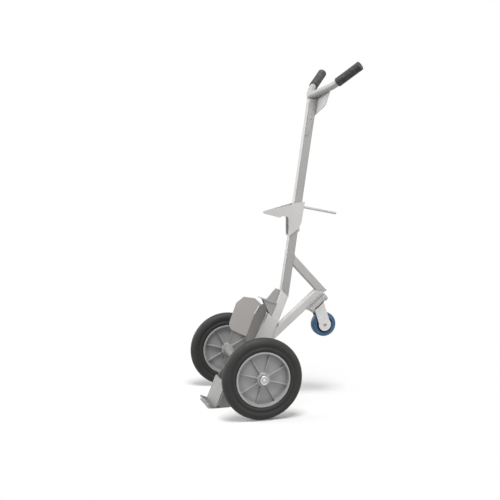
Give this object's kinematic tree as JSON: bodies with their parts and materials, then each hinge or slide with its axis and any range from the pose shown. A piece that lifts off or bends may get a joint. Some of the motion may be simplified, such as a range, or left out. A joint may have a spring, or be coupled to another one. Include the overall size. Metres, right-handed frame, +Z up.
{
  "type": "drum trolley",
  "caption": "Upright steel trolley for tilting and rolling drums: leaning mast with bent handlebar, sliding rim hook, V cradle, toe with lip, main wheels and a rear swivel castor.",
  "frame": {"origin": "floor point midway between the two main wheels, under the axle", "axes": "+X across to the user's left, +Y back towards the user, +Z up"},
  "size_m": [0.4708, 0.4646, 1.0698],
  "materials": {
    "satin_steel": "satin, fine brushed",
    "zinc_steel": "zinc plated",
    "bright_cap": "bright",
    "tyre_rubber": "matt",
    "hub_plastic": "moulded grey",
    "grip_rubber": "matt, fine grained",
    "blue_rubber": "matt",
    "castor_plastic": "moulded dark",
    "bush_nylon": "plain"
  },
  "bodies": {
    "frame": {"mast_tube": "satin_steel", "leg_tube": "satin_steel", "upper_strut": "satin_steel", "lower_strut": "satin_steel", "base_channel": "satin_steel", "toe_plate": "satin_steel", "left_toe_cheek": "satin_steel", "right_toe_cheek": "satin_steel", "toe_foot": "satin_steel", "left_cradle_wing": "satin_steel", "right_cradle_wing": "satin_steel", "left_cradle_web": "satin_steel", "right_cradle_web": "satin_steel", "cradle_shelf": "satin_steel", "cradle_rib": "satin_steel", "handlebar": "satin_steel", "left_grip": "grip_rubber", "right_grip": "grip_rubber", "left_gusset": "satin_steel", "right_gusset": "satin_steel", "stop_bolt": "zinc_steel", "axle_shaft": "zinc_steel", "left_axle_spacer": "satin_steel", "right_axle_spacer": "satin_steel", "left_axle_washer": "zinc_steel", "right_axle_washer": "zinc_steel", "left_axle_cap": "bright_cap", "right_axle_cap": "bright_cap", "castor_pad": "satin_steel", "castor_plate": "zinc_steel", "castor_bolt_1": "zinc_steel", "castor_bolt_2": "zinc_steel", "castor_bolt_3": "zinc_steel", "castor_bolt_4": "zinc_steel", "castor_nut_1": "zinc_steel", "castor_nut_2": "zinc_steel", "castor_nut_3": "zinc_steel", "castor_nut_4": "zinc_steel", "castor_race": "zinc_steel", "castor_kingpin": "zinc_steel"},
    "left_wheel": {"left_hub": "hub_plastic", "left_tyre": "tyre_rubber", "left_bush": "bush_nylon"},
    "right_wheel": {"right_hub": "hub_plastic", "right_tyre": "tyre_rubber", "right_bush": "bush_nylon"},
    "hook": {"hook_shell": "satin_steel", "lift_rod": "satin_steel"},
    "castor_fork": {"castor_fork": "zinc_steel", "castor_axle": "zinc_steel", "castor_bush": "bush_nylon"},
    "castor_wheel": {"castor_hub": "castor_plastic", "castor_tyre": "blue_rubber"}
  },
  "joints": [
    {"name": "left_wheel_spin", "type": "hinge", "parent": "frame", "child": "left_wheel", "pos_m": [0.21, 0, 0.125], "axis": [1, 0, 0], "continuous": true},
    {"name": "right_wheel_spin", "type": "hinge", "parent": "frame", "child": "right_wheel", "pos_m": [-0.21, 0, 0.125], "axis": [1, 0, 0], "continuous": true},
    {"name": "hook_slide", "type": "slide", "parent": "frame", "child": "hook", "axis": [0, 0.1461, 0.9893], "range_m": [0, 0.2]},
    {"name": "castor_swivel", "type": "hinge", "parent": "frame", "child": "castor_fork", "pos_m": [0, 0.24055, 0.31644], "axis": [0, -0.6494, 0.7604], "continuous": true},
    {"name": "castor_spin", "type": "hinge", "parent": "castor_fork", "child": "castor_wheel", "pos_m": [0, 0.27301, 0.23685], "axis": [1, 0, 0], "continuous": true}
  ]
}
